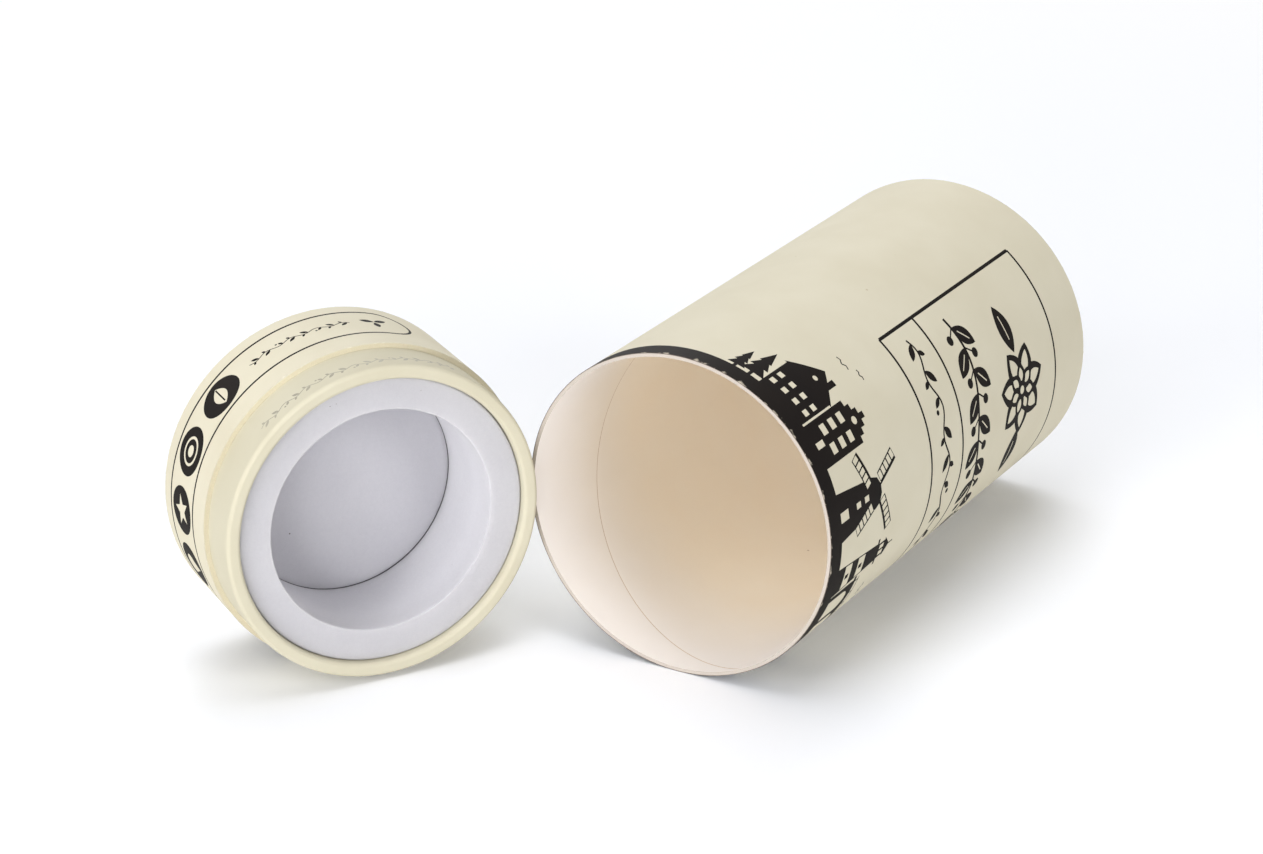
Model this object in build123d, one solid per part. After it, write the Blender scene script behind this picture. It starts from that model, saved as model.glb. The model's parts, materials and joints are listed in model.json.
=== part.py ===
from build123d import *
import os
from math import cos, radians, sin

# A paper tube box in two halves, lying on a table with the cover drawn off its base.
# Lengths are millimetres. The cover lies along +X with its mouth towards -X.
# The base lies beside it, turned about the vertical, with its mouth towards -X and -Y.

# Sizes that both halves share
tube_diameter = 84.0
wrap_paper = 0.15
lining_paper = 0.15
label_paper = 0.15
end_board = 2.0
glue_line = 0.02
fold_width = 8.0
fold_round = 0.6
label_inset = 1.6

# Cover
cover_length = 148.0
cover_wall = 0.68

# Base and its neck
shell_length = 28.0
neck_height = 12.6
neck_clearance = 0.3
neck_wall = 3.26
neck_rim_round = 1.1
neck_turn_in = 12.0

# Foam insert
foam_clearance = 0.3
foam_recess = 2.0
foam_edge_round = 0.8
foam_ring_wall = 7.98
foam_pad_thickness = 9.98
seat_gap = 0.3

# How the two halves lie
base_turn = 56.8
base_along = -31.9
base_aside = 69.8

# One overrun for every cut
overrun = 1.0

# Sizes that follow, across the tube
tube_radius = tube_diameter / 2
board_outer = tube_radius - wrap_paper - glue_line
cover_board_inner = board_outer - cover_wall
cover_inner_radius = cover_board_inner - glue_line - lining_paper
neck_radius = cover_inner_radius - neck_clearance
neck_inner_radius = neck_radius - neck_wall - 2 * (wrap_paper + glue_line)
shell_inner_radius = neck_radius + glue_line
foam_radius = neck_inner_radius - foam_clearance
well_radius = foam_radius - foam_ring_wall


def end_levels(length):
    # The closed end, counted from the outside in: label, folded wrap, board
    flap_face = length - label_paper
    board_face = flap_face - wrap_paper
    board_inside = board_face - end_board
    return flap_face, board_face, board_inside


# Levels along the tube, from its open edge at zero towards the closed end
_, _, cover_board_inside = end_levels(cover_length)
_, _, base_board_inside = end_levels(shell_length)
ceiling_back = cover_board_inside - glue_line
ceiling_face = ceiling_back - lining_paper
cover_tube_end = ceiling_face - glue_line
neck_foot = base_board_inside - glue_line
rim_z = -neck_height
foam_face_z = rim_z + foam_recess
pad_face_z = neck_foot - foam_pad_thickness


def disc(radius, low, high):
    return Pos(0, 0, low) * extrude(Circle(radius), amount=high - low)


def ring(outer, inner, low, high):
    return Pos(0, 0, low) * extrude(Circle(outer) - Circle(inner), amount=high - low)


def round_edges(body, level, size):
    # Rounds the circular edges of a body that lie in the plane z = level
    near = size / 2
    edges = body.edges().filter_by(GeomType.CIRCLE)
    edges = edges.filter_by_position(Axis.Z, level - near, level + near)
    return fillet(edges, size)


def tube_wrap(length):
    # Printed paper round the tube, cut flush at the mouth and folded over the closed end
    flap_face, board_face, _ = end_levels(length)
    outside = round_edges(disc(tube_radius, 0, flap_face), flap_face, fold_round)
    inside = disc(tube_radius - wrap_paper, 0, board_face)
    inside = round_edges(inside, board_face, fold_round - wrap_paper)
    window = disc(tube_radius - fold_width, board_face - overrun, flap_face + overrun)
    return outside - inside - window


def end_disc(length):
    # Board disc on the end of the tube, its edge rounded where the wrap folds over
    _, board_face, board_inside = end_levels(length)
    return round_edges(disc(board_outer, board_inside, board_face), board_face, fold_round - wrap_paper)


def end_label(length):
    # Paper disc over the folded edge of the wrap
    flap_face, _, _ = end_levels(length)
    return disc(tube_radius - label_inset, flap_face, length)


def cover_lining():
    # Inner ply of the cover's tube, from the mouth to the ceiling paper
    return ring(cover_inner_radius + lining_paper, cover_inner_radius, 0, cover_tube_end)


def cover_ceiling():
    # Paper disc between the cover's tube and its end board
    return disc(board_outer, ceiling_face, ceiling_back)


def neck_body(skin, foot):
    # The neck's thick ring with both rim edges rounded, drawn in by a skin on every face
    outer = neck_radius - skin
    inner = neck_inner_radius + skin
    face = rim_z + skin
    return round_edges(ring(outer, inner, face, foot), face, neck_rim_round - skin)


def neck_wrap():
    # Printed paper down the outside of the neck, over its rim and turned in
    paper = neck_body(0, neck_foot) - neck_body(wrap_paper, neck_foot + overrun)
    turned_end = rim_z + neck_turn_in
    between = (neck_radius + neck_inner_radius) / 2
    return paper - disc(between, turned_end, neck_foot + overrun)


def neck_tube():
    # Thick board ring that stands on the base's end board
    return neck_body(wrap_paper + glue_line, neck_foot)


def foam_ring():
    # Foam round the bottle's foot, set back from the rim of the neck
    low = foam_face_z
    body = ring(foam_radius, well_radius, low, pad_face_z - seat_gap)
    return round_edges(body, low, foam_edge_round)


def foam_pad():
    # Foam disc under the ring, which is the floor of the well
    return disc(foam_radius, pad_face_z, neck_foot)


cover_parts = {
    "cover_tube": ring(board_outer, cover_board_inner, 0, cover_tube_end),
    "cover_wrap": tube_wrap(cover_length),
    "cover_lining": cover_lining(),
    "cover_top_board": end_disc(cover_length),
    "cover_top_label": end_label(cover_length),
    "cover_ceiling_paper": cover_ceiling(),
}

base_parts = {
    "base_tube": ring(board_outer, shell_inner_radius, 0, neck_foot),
    "base_wrap": tube_wrap(shell_length),
    "base_board": end_disc(shell_length),
    "base_label": end_label(shell_length),
    "neck_tube": neck_tube(),
    "neck_wrap": neck_wrap(),
    "foam_ring": foam_ring(),
    "foam_pad": foam_pad(),
}

# Each half lies on its outer wrap, so its axis is one tube radius above the table
base_x = cos(radians(base_turn))
base_y = sin(radians(base_turn))
cover_place = Plane(origin=(0, 0, tube_radius), x_dir=(0, 1, 0), z_dir=(1, 0, 0))
base_place = Plane(origin=(base_along, base_aside, tube_radius),
                   x_dir=(-base_y, base_x, 0), z_dir=(base_x, base_y, 0))

laid = {name: cover_place.location * piece for name, piece in cover_parts.items()}
laid.update({name: base_place.location * piece for name, piece in base_parts.items()})

# The origin is under the middle of the whole layout, on the table
box = Compound(list(laid.values())).bounding_box()
middle = Vector((box.min.X + box.max.X) / 2, (box.min.Y + box.max.Y) / 2, box.min.Z)
to_origin = Location(middle).inverse()

os.makedirs("parts", exist_ok=True)
for name, piece in laid.items():
    export_step(to_origin * piece, f"parts/{name}.step")

# Places that the interfaces are stated from
rim_gap = laid["cover_wrap"].distance_to(laid["neck_wrap"])
print("cover mouth centre", cover_place.origin - middle)
print("base shell edge centre", base_place.origin - middle)
print("base axis, mouth to foot", (base_x, base_y, 0))
print("cover bore radius", cover_inner_radius, "neck radius", neck_radius)
print("foam radius", foam_radius, "well radius", well_radius, "well depth", pad_face_z - foam_face_z)
print("levels: ceiling face", ceiling_face, "foam face", foam_face_z, "pad face", pad_face_z)
print("gap between the cover's mouth and the neck", rim_gap)
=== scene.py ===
import json
import math
import random
from collections import namedtuple

import bmesh
import bpy
from mathutils import Matrix, Vector
from mathutils.geometry import delaunay_2d_cdt


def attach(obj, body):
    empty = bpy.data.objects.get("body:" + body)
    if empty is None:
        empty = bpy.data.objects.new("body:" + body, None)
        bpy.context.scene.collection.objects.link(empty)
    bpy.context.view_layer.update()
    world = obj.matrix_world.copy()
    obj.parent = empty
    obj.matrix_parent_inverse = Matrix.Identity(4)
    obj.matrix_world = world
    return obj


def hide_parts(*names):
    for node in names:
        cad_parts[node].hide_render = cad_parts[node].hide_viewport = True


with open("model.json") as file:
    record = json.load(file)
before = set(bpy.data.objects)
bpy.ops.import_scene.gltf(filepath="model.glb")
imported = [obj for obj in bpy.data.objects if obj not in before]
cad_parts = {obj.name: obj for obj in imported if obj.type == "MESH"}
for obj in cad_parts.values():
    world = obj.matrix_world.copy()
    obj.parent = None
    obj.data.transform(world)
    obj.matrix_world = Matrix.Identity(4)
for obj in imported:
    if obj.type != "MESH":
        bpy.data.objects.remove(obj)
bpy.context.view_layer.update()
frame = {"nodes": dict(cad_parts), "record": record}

# A paper tube box in two halves, lying open: the cover on the right, the base with its foam on the left.
# Lengths are millimetres until a point is placed, angles are degrees.

MM = 0.001
mounts = {mount["name"]: mount for mount in frame["record"]["mounts"]}


def mount_radius(name):
    return mounts[name]["dims"]["r_mm"]


# Sizes that both halves share, as their solids have them
tube_radius = 42.0
paper = 0.15
label_paper = 0.15
glue_line = 0.02
end_board = 2.0
fold_width = 8.0
fold_round = 0.6
folded_in = tube_radius - 1.0       # inside this radius a wrap is folded in

# Cover
cover_length = 148.0
cover_inner_radius = mount_radius("cover_mouth")

# Base and neck
shell_length = 28.0
neck_radius = mount_radius("neck")
neck_wall = 3.26
neck_height = 12.6
neck_rim_round = 1.1
neck_turn_in = 12.0

# Foam
well_radius = mount_radius("bottle_well")
foam_clearance = 0.3
foam_recess = 2.0
foam_pad_thickness = 9.98
foam_seat_gap = 0.3
foam_edge_round = 0.55
well_edge_round = 0.22      # the well's edge is cut sharper than the foam's outer edge
pad_edge_round = 0.3
foam_swell = 0.2            # how far the soft foam fills the clearance that the solids leave in the neck
foam_foot_rise = 0.14       # how far the well's wall ends above the ring's foot, which opens the slit


def board_inside(length):
    """The level of the end board's inner face, less its glue line."""
    return length - label_paper - paper - end_board - glue_line


# Levels along the tubes, from the open edge at zero, and the radii that follow
cover_lining_end = board_inside(cover_length) - paper - glue_line
neck_foot = board_inside(shell_length)
neck_rim = -neck_height
neck_inner_radius = neck_radius - neck_wall - 2 * (paper + glue_line)
foam_radius = neck_inner_radius - foam_clearance
foam_face = neck_rim + foam_recess
pad_face = neck_foot - foam_pad_thickness
foam_foot = pad_face - foam_seat_gap
slit_radii = (well_radius - 0.1, well_radius + 0.05, well_radius + 0.6, well_radius + 0.8)

# Camera, in metres
camera_place = Vector((-0.7158, -0.4247, 0.3953))
camera_looks = Vector((0.79315, 0.46873, -0.38886))
camera_roll = 0.321
camera_lens = 100.58
camera_sensor = 36.0
camera_clip = (0.01, 50)

# Print: how many millimetres one degree of a tube is
tube_pitch = math.radians(tube_radius)
neck_pitch = math.radians(neck_radius)

# Paints of a sheet's faces, by their place among the sheet's own materials
PAPER = 0
INK = 1                     # on the wraps
GREY = 2                    # on the neck's paper
SEAM = 1                    # on the lining
CUT_EDGE = 2                # on the cover's wrap and lining


# Places on the two halves

class Half:
    """One half of the box. Its depth is zero at its open edge; angle 0 is its side and 90 its top."""

    def __init__(self, end_mount, length):
        mount = mounts[end_mount]
        self.along = Vector(mount["axis"]).normalized()
        self.edge = Vector(mount["pos_m"]) / MM - self.along * length
        self.side = Vector((self.along.y, -self.along.x, 0.0))
        self.up = Vector((0.0, 0.0, 1.0))

    def outward(self, angle):
        turn = math.radians(angle)
        return self.side * math.cos(turn) + self.up * math.sin(turn)

    def point(self, angle, depth, radius):
        return (self.edge + self.along * depth + self.outward(angle) * radius) * MM

    def reading(self, place):
        """The angle, depth and radius of a placed point."""
        local = place / MM - self.edge
        depth = local.dot(self.along)
        flat = local - self.along * depth
        angle = math.degrees(math.atan2(flat.dot(self.up), flat.dot(self.side)))
        return angle, depth, flat.length


cover = Half("cover_top", cover_length)
base = Half("base_foot", shell_length)


# Outlines of turned pieces, as (depth, radius) stretches run anticlockwise

Stretch = namedtuple("Stretch", "start end centre bulge")


def rounded_outline(corners, steps=5):
    """The stretches of a closed outline, given as (depth, radius, rounding) corners."""
    places = [Vector(corner[:2]) for corner in corners]
    arcs = []
    for number, corner in enumerate(places):
        before = (places[number - 1] - corner).normalized()
        after = (places[(number + 1) % len(places)] - corner).normalized()
        arcs.append(corner_arc(corner, before, after, corners[number][2], steps))
    stretches = []
    for (points, centre, bulge), (following, _, _) in zip(arcs, arcs[1:] + arcs[:1]):
        stretches.extend(Stretch(a, b, centre, bulge) for a, b in zip(points, points[1:]))
        stretches.append(Stretch(points[-1], following[0], None, 1))
    return stretches


def corner_arc(corner, before, after, rounding, steps):
    """The points that round one corner, their centre and their bulge; a single point where it is sharp."""
    if rounding == 0:
        return [corner], None, 1
    half_angle = before.angle(after) / 2
    centre = corner + (before + after).normalized() * rounding / math.sin(half_angle)
    reach = rounding / math.tan(half_angle)
    first = corner + before * reach - centre
    last = corner + after * reach - centre
    turn = first.angle_signed(last)
    points = []
    for step in range(steps + 1):
        share = -turn * step / steps
        cos_share = math.cos(share)
        sin_share = math.sin(share)
        points.append(centre + Vector((first.x * cos_share - first.y * sin_share,
                                       first.x * sin_share + first.y * cos_share)))
    return points, centre, 1 if before.cross(after) < 0 else -1


def divided(outline, longest):
    """The same outline with its straight stretches cut into pieces no longer than that."""
    result = []
    for stretch in outline:
        count = 1
        if stretch.centre is None:
            count = max(1, math.ceil((stretch.end - stretch.start).length / longest))
        stops = [stretch.start.lerp(stretch.end, step / count) for step in range(count + 1)]
        result.extend(Stretch(a, b, stretch.centre, stretch.bulge) for a, b in zip(stops, stops[1:]))
    return result


def facing(stretch, depth, radius):
    """Which way a stretch's surface faces there, as its (along, outward) parts."""
    if stretch.centre is None:
        run = stretch.end - stretch.start
        return Vector((run.y, -run.x)).normalized()
    return (Vector((depth, radius)) - stretch.centre).normalized() * stretch.bulge


# Sheets cut along the outlines of their print

Shape = namedtuple("Shape", "paint outline")
point_merge = 1e-4          # points of a sheet that lie closer than this become one


def inside(outline, x, y):
    """Whether the point lies in the closed outline."""
    found = False
    x0, y0 = outline[-1]
    for x1, y1 in outline:
        if (y0 > y) != (y1 > y) and x < (x1 - x0) * (y - y0) / (y1 - y0) + x0:
            found = not found
        x0, y0 = x1, y1
    return found


def boxed(shape):
    """A shape after the lowest and highest angle and depth of its outline."""
    angles, depths = zip(*shape.outline)
    return min(angles), max(angles), min(depths), max(depths), shape


def paint_at(boxes, angle, depth):
    """The paint of the last shape that the point lies in."""
    paint = PAPER
    for low_angle, high_angle, low_depth, high_depth, shape in boxes:
        in_box = low_angle <= angle <= high_angle and low_depth <= depth <= high_depth
        if in_box and inside(shape.outline, angle, depth):
            paint = shape.paint
    return paint


def cut_sheet(columns, rows, shapes, lines, pitch):
    """Triangles of a sheet that follow every shape and line, each with its paint.
    Columns are angles, rows are depths, and the pitch is the millimetres in one degree."""
    points = []
    edges = []

    def add(path, closed):
        first = len(points)
        points.extend(Vector((angle * pitch, depth)) for angle, depth in path)
        edges.extend((first + step, first + step + 1) for step in range(len(path) - 1))
        if closed:
            edges.append((len(points) - 1, first))

    for angle in columns:
        add([(angle, rows[0]), (angle, rows[-1])], False)
    for depth in rows:
        add([(columns[0], depth), (columns[-1], depth)], False)
    for shape in shapes:
        add(shape.outline, True)
    for path in lines:
        add(path, False)
    corners, _, triangles, *_ = delaunay_2d_cdt(points, edges, [], 0, point_merge, False)
    boxes = [boxed(shape) for shape in shapes]
    cells = []
    for triangle in triangles:
        cell = [(corners[i].x / pitch, corners[i].y) for i in triangle]
        angle = sum(a for a, _ in cell) / len(cell)
        depth = sum(d for _, d in cell) / len(cell)
        cells.append((cell, paint_at(boxes, angle, depth)))
    return cells


def plain_cells(stretch, columns):
    """Four-sided cells of one stretch, a cell to each column."""
    a, b = stretch.start, stretch.end
    return [([(left, a.x, a.y), (right, a.x, a.y), (right, b.x, b.y), (left, b.x, b.y)], PAPER)
            for left, right in zip(columns, columns[1:])]


def printed_cells(stretch, columns, rows, shapes, lines):
    """Cells of the stretch that carries the print."""
    radius = stretch.start.y
    cells = cut_sheet(columns, rows, shapes, lines, math.radians(radius))
    return [([(angle, depth, radius) for angle, depth in cell], paint) for cell, paint in cells]


# Turned meshes, with a relief that shifts their points and tilts their normals

slope_step = 0.02           # half the length that a relief's slope is measured over
inward_share = 0.15         # how far towards the middle of its cell a corner's slope is measured
corner_merge = 0.003        # corners that lie closer than this become one
sliver = 0.001              # faces narrower than this are dissolved
same_place = 0.001          # two readings that differ by less are the same


def lean(half, stretch, corner, middle, relief):
    """The surface's normal at a cell's corner, with the slope of its relief."""
    angle, depth, radius = corner
    way = facing(stretch, depth, radius)
    outward = half.outward(angle)
    plain = half.along * way.x + outward * way.y
    if relief is None:
        return plain
    near = [value + (centre - value) * inward_share for value, centre in zip(corner, middle)]
    run = Vector((-way.y, way.x))

    def slope(steps, length):
        ahead = relief(*[value + step for value, step in zip(near, steps)])
        behind = relief(*[value - step for value, step in zip(near, steps)])
        return (ahead - behind) / (2 * length)

    round_slope = slope((slope_step, 0.0, 0.0), slope_step * math.radians(radius))
    run_slope = slope((0.0, run.x * slope_step, run.y * slope_step), slope_step)
    across = half.outward(angle + 90) + half.along * round_slope.x + outward * round_slope.y
    down = half.along * (run.x + run_slope.x) + outward * (run.y + run_slope.y)
    normal = across.cross(down).normalized()
    return normal if normal.dot(plain) > 0 else -normal


def shifted(half, corner, relief):
    """Where a corner lies, moved by its relief."""
    angle, depth, radius = corner
    if relief is not None:
        shift = relief(angle, depth, radius)
        depth += shift.x
        radius += shift.y
    return half.point(angle, depth, radius)


def turned(name, half, outline, columns, printed=None, rows=(), shapes=(), lines=(), relief=None):
    """A closed piece turned round a half's axis, one of whose stretches may be cut along a print.
    Relief gives the (along, outward) shift of a point from its angle, depth and radius."""
    points = []
    faces = []
    paints = []
    normals = []
    for number, stretch in enumerate(outline):
        if number == printed:
            cells = printed_cells(stretch, columns, rows, shapes, lines)
        else:
            cells = plain_cells(stretch, columns)
        for cell, paint in cells:
            middle = [sum(corner[axis] for corner in cell) / len(cell) for axis in range(3)]
            leans = [lean(half, stretch, corner, middle, relief) for corner in cell]
            placed = [shifted(half, corner, relief) for corner in cell]
            if (placed[2] - placed[0]).cross(placed[-1] - placed[1]).dot(leans[0]) < 0:
                placed.reverse()
                leans.reverse()
            faces.append(range(len(points), len(points) + len(placed)))
            points.extend(placed)
            normals.extend(leans)
            paints.append(paint)
    return joined_piece(name, points, faces, normals, paints)


def joined_piece(name, points, faces, normals, paints):
    """An object of those faces, its meeting corners merged and its given normals kept."""
    mesh = bpy.data.meshes.new(name)
    mesh.from_pydata(points, [], faces)
    mesh.polygons.foreach_set("material_index", paints)
    kept = mesh.attributes.new("lean", "FLOAT_VECTOR", "CORNER")
    kept.data.foreach_set("vector", [part for normal in normals for part in normal])
    work = bmesh.new()
    work.from_mesh(mesh)
    bmesh.ops.remove_doubles(work, verts=work.verts, dist=corner_merge * MM)
    bmesh.ops.dissolve_degenerate(work, edges=work.edges, dist=sliver * MM)
    work.to_mesh(mesh)
    work.free()
    mesh.polygons.foreach_set("use_smooth", [True] * len(mesh.polygons))
    mesh.normals_split_custom_set([corner.vector for corner in mesh.attributes["lean"].data])
    mesh.attributes.remove(mesh.attributes["lean"])
    return placed_object(name, mesh)


def placed_object(name, data):
    thing = bpy.data.objects.new(name, data)
    bpy.context.scene.collection.objects.link(thing)
    return thing


def mark(piece, name, half, value_at):
    """Gives every point of a piece a value that follows from its angle, depth and radius."""
    values = piece.data.attributes.new(name, "FLOAT", "POINT")
    values.data.foreach_set("value", [value_at(*half.reading(point.co)) for point in piece.data.vertices])


def even_columns(join, count, extra=()):
    """Angles once round from the join, with some extra ones."""
    regular = [join + 360.0 * step / count for step in range(count + 1)]
    return sorted(regular + list(extra))


def eased(low, high, value):
    """Rises smoothly from 0 at low to 1 at high."""
    share = min(1.0, max(0.0, (value - low) / (high - low)))
    return share * share * (3 - 2 * share)


# Shapes of the print, in millimetres on the flat sheet

def headings(turn):
    """The ways ahead and aside for a turn."""
    ahead = Vector((math.cos(math.radians(turn)), math.sin(math.radians(turn))))
    return ahead, Vector((-ahead.y, ahead.x))


def arc(x, y, radius, first, last, steps):
    """Points along an arc from one turn to another, with both its ends."""
    turns = [math.radians(first + (last - first) * step / steps) for step in range(steps + 1)]
    return [(x + radius * math.cos(turn), y + radius * math.sin(turn)) for turn in turns]


def block(x0, y0, x1, y1, paint=INK):
    return Shape(paint, [(x0, y0), (x1, y0), (x1, y1), (x0, y1)])


def taper(x, low, high, foot, head, paint=INK):
    """A shape with half its width of foot at its low edge and of head at its high one."""
    return Shape(paint, [(x - foot, low), (x + foot, low), (x + head, high), (x - head, high)])


def spot(x, y, radius, paint=INK, corners=28):
    return Shape(paint, arc(x, y, radius, 0, 360, corners)[:-1])


def leaf(x, y, length, width, turn, paint=INK, corners=7):
    """A pointed leaf that starts at a point and grows the way it is turned."""
    fullness = 0.85
    ahead, aside = headings(turn)
    shares = [step / corners for step in range(corners + 1)]
    widths = [width / 2 * math.sin(math.pi * share) ** fullness for share in shares]
    left = [ahead * length * s + aside * w for s, w in zip(shares, widths)]
    right = [ahead * length * s - aside * w for s, w in zip(shares, widths)]
    return Shape(paint, [(x + p.x, y + p.y) for p in left + right[-2:0:-1]])


def rule(path, width, paint=INK):
    """A drawn line of that width."""
    points = [Vector(point) for point in path]
    left = []
    right = []
    for number, point in enumerate(points):
        before = points[max(0, number - 1)]
        after = points[min(len(points) - 1, number + 1)]
        run = (after - before).normalized()
        aside = Vector((-run.y, run.x)) * width / 2
        left.append(point + aside)
        right.append(point - aside)
    return Shape(paint, [tuple(p) for p in left + right[::-1]])


def vein(x, y, turn, near, far, width):
    """The paper-coloured line in a leaf."""
    ahead, _ = headings(turn)
    return rule([(x + ahead.x * s, y + ahead.y * s) for s in (near, far)], width, PAPER)


def lozenge(x, y, width, height, paint=INK):
    return Shape(paint, [(x - width / 2, y), (x, y - height / 2), (x + width / 2, y), (x, y + height / 2)])


def star(x, y, radius, points, paint=INK):
    inner_share = 0.42
    outline = []
    for step in range(2 * points):
        turn = math.pi * step / points
        reach = radius if step % 2 == 0 else radius * inner_share
        outline.append((x + reach * math.sin(turn), y + reach * math.cos(turn)))
    return Shape(paint, outline)


def moved(shapes, place):
    """The same shapes with every point where place puts it."""
    return [Shape(shape.paint, [place(x, y) for x, y in shape.outline]) for shape in shapes]


# The townscape along the cover's mouth

band_width = 5.5
town_foot = 5.0
town_start = 75.0
town_scale = 1.42


def fir(x, height):
    """Three tiers of branches on a trunk; a tier's shares are its foot, its tip and its width."""
    tier_shares = ((0.14, 0.56, 1.0), (0.38, 0.78, 0.76), (0.6, 1.0, 0.5))
    trunk = 0.35
    width = height * 0.46
    shapes = [block(x - trunk, town_foot, x + trunk, town_foot + height * 0.5)]
    for foot_share, tip_share, width_share in tier_shares:
        foot = town_foot + height * foot_share
        half = width * width_share / 2
        shapes.append(Shape(INK, [(x - half, foot), (x + half, foot), (x, town_foot + height * tip_share)]))
    return shapes


def poplar(x, height):
    trunk = 0.3
    return [block(x - trunk, town_foot, x + trunk, town_foot + height * 0.4),
            leaf(x, town_foot + height * 0.12, height * 0.88, height * 0.24, 90)]


def windows(x, y, across, up, width, height, gap_x, gap_y):
    """Rows of lit windows."""
    return [block(x + i * gap_x, y + j * gap_y, x + i * gap_x + width, y + j * gap_y + height, PAPER)
            for i in range(across) for j in range(up)]


def gabled_house(x, width, wall, roof):
    overhang = 0.5
    storey = 2.7
    window_height = 1.35
    eaves = town_foot + wall
    body = Shape(INK, [(x, town_foot), (x + width, town_foot), (x + width, eaves),
                       (x + width + overhang, eaves), (x + width / 2, eaves + roof),
                       (x - overhang, eaves), (x, eaves)])
    chimney = block(x + width * 0.68, eaves, x + width * 0.8, eaves + roof * 0.95)
    across = max(2, int(width / 2.4))
    up = max(1, int((wall - 2.2) / storey))
    gap = width / across
    lit = windows(x + gap * 0.27, town_foot + 2.6, across, up, gap * 0.46, window_height, gap, storey)
    attic = spot(x + width / 2, eaves + roof * 0.36, 0.55, PAPER, 14)
    return [body, chimney, *lit, attic]


def stepped_house(x, width, wall, steps):
    riser = 1.25
    storey = 3.0
    window_height = 1.6
    half_door = 0.6
    eaves = town_foot + wall
    tread = width / (2 * steps + 1)
    left = []
    right = []
    for step in range(steps + 1):
        for level in (eaves + riser * step, eaves + riser * (step + 1)):
            left.append((x + tread * step, level))
            right.append((x + width - tread * step, level))
    body = Shape(INK, [(x, town_foot), (x + width, town_foot)] + right + left[::-1])
    middle = x + width / 2
    door = block(middle - half_door, town_foot + 0.5, middle + half_door, town_foot + 2.9, PAPER)
    up = max(1, int((wall - 3.4) / storey))
    lit = windows(x + width * 0.16, town_foot + 4.0, 2, up, width * 0.24, window_height,
                  width * 0.44, storey)
    ring = spot(middle, eaves + 1.6, 0.75, PAPER, 16)
    return [body, door, *lit, ring]


def windmill(x, height):
    top = town_foot + height
    tower = taper(x, town_foot, top, 4.4, 2.8)
    cap = Shape(INK, [(x - 3.0, top - 0.2), (x + 3.0, top - 0.2), (x + 2.3, top + 1.9),
                      (x + 0.8, top + 2.9), (x - 0.8, top + 2.9), (x - 2.3, top + 1.9)])
    door = block(x - 0.9, town_foot + 0.5, x + 0.9, town_foot + 3.3, PAPER)
    lights = []
    for sill in (town_foot + height * 0.5, town_foot + height * 0.74):
        lights.append(block(x - 0.55, sill, x + 0.55, sill + 1.5, PAPER))
    hub = Vector((x, top + 0.9))
    sails = [shape for turn in (22, 112, 202, 292) for shape in sail(hub, turn, 9.0)]
    return [tower, cap, door, *lights, *sails, spot(hub.x, hub.y, 0.75, INK, 16)]


def sail(hub, turn, length):
    """One arm of the windmill with its lattice."""
    half_arm = 0.22
    root = 2.3
    lattice_width = 2.3
    cells = 5
    bar = 0.16
    ahead, aside = headings(turn)

    def panel(start, end, low, high, paint):
        corners = [(start, low), (end, low), (end, high), (start, high)]
        places = [hub + ahead * along + aside * across for along, across in corners]
        return Shape(paint, [(place.x, place.y) for place in places])

    shapes = [panel(0, length, -half_arm, half_arm, INK), panel(root, length, 0, lattice_width, INK)]
    cell = (length - root) / cells
    for step in range(cells):
        start = root + cell * step + bar
        end = root + cell * (step + 1) - bar
        shapes.append(panel(start, end, 0.42, lattice_width - 0.3, PAPER))
    return shapes


def viaduct(x, arches, pitch, height):
    pier = 1.2
    half_post = 0.16
    deck = town_foot + height
    length = arches * pitch + pier
    shapes = [block(x, town_foot, x + length, deck),
              block(x - 0.6, deck - 0.3, x + length + 0.6, deck + 0.7)]
    for number in range(arches):
        left = x + pier + number * pitch
        right = left + pitch - pier
        radius = (right - left) / 2
        crown = arc(left + radius, deck - pier - radius, radius, 0, 180, 12)
        shapes.append(Shape(PAPER, [(left, band_width), (right, band_width)] + crown))
    for number in range(2 * arches + 1):
        post = x + 0.6 + number * pitch / 2
        shapes.append(block(post - half_post, deck, post + half_post, deck + 1.9))
    shapes.append(rule([(x, deck + 1.8), (x + length, deck + 1.8)], 0.24))
    return shapes


def lighthouse(x, height):
    """A tapered tower with two pale bands, a window in each, and a lantern on top."""
    foot = 2.9
    head = 1.7
    rim = 0.28
    top = town_foot + height
    shapes = [taper(x, town_foot, top, foot, head)]
    for low_share, high_share in ((0.2, 0.36), (0.52, 0.68)):
        low = town_foot + height * low_share
        high = town_foot + height * high_share
        shapes.append(taper(x, low, high, foot - (foot - head) * low_share - rim,
                            foot - (foot - head) * high_share - rim, PAPER))
        shapes.append(block(x - 0.45, low + height * 0.03, x + 0.45, high - height * 0.05))
    shapes += [block(x - 2.6, top - 0.3, x + 2.6, top + 0.35),
               block(x - 1.5, top, x + 1.5, top + 2.7),
               block(x - 1.05, top + 0.75, x - 0.2, top + 2.3, PAPER),
               block(x + 0.2, top + 0.75, x + 1.05, top + 2.3, PAPER),
               Shape(INK, [(x - 2.0, top + 2.6), (x + 2.0, top + 2.6), (x, top + 4.6)]),
               rule([(x, top + 4.2), (x, top + 6.0)], rim)]
    return shapes


def bird(x, y, span):
    line = 0.28
    tip = y + span * 0.25
    bend = y + span * 0.42
    return [rule([(x - span, tip), (x - span * 0.5, bend), (x, y)], line),
            rule([(x, y), (x + span * 0.5, bend), (x + span, tip)], line)]


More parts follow.
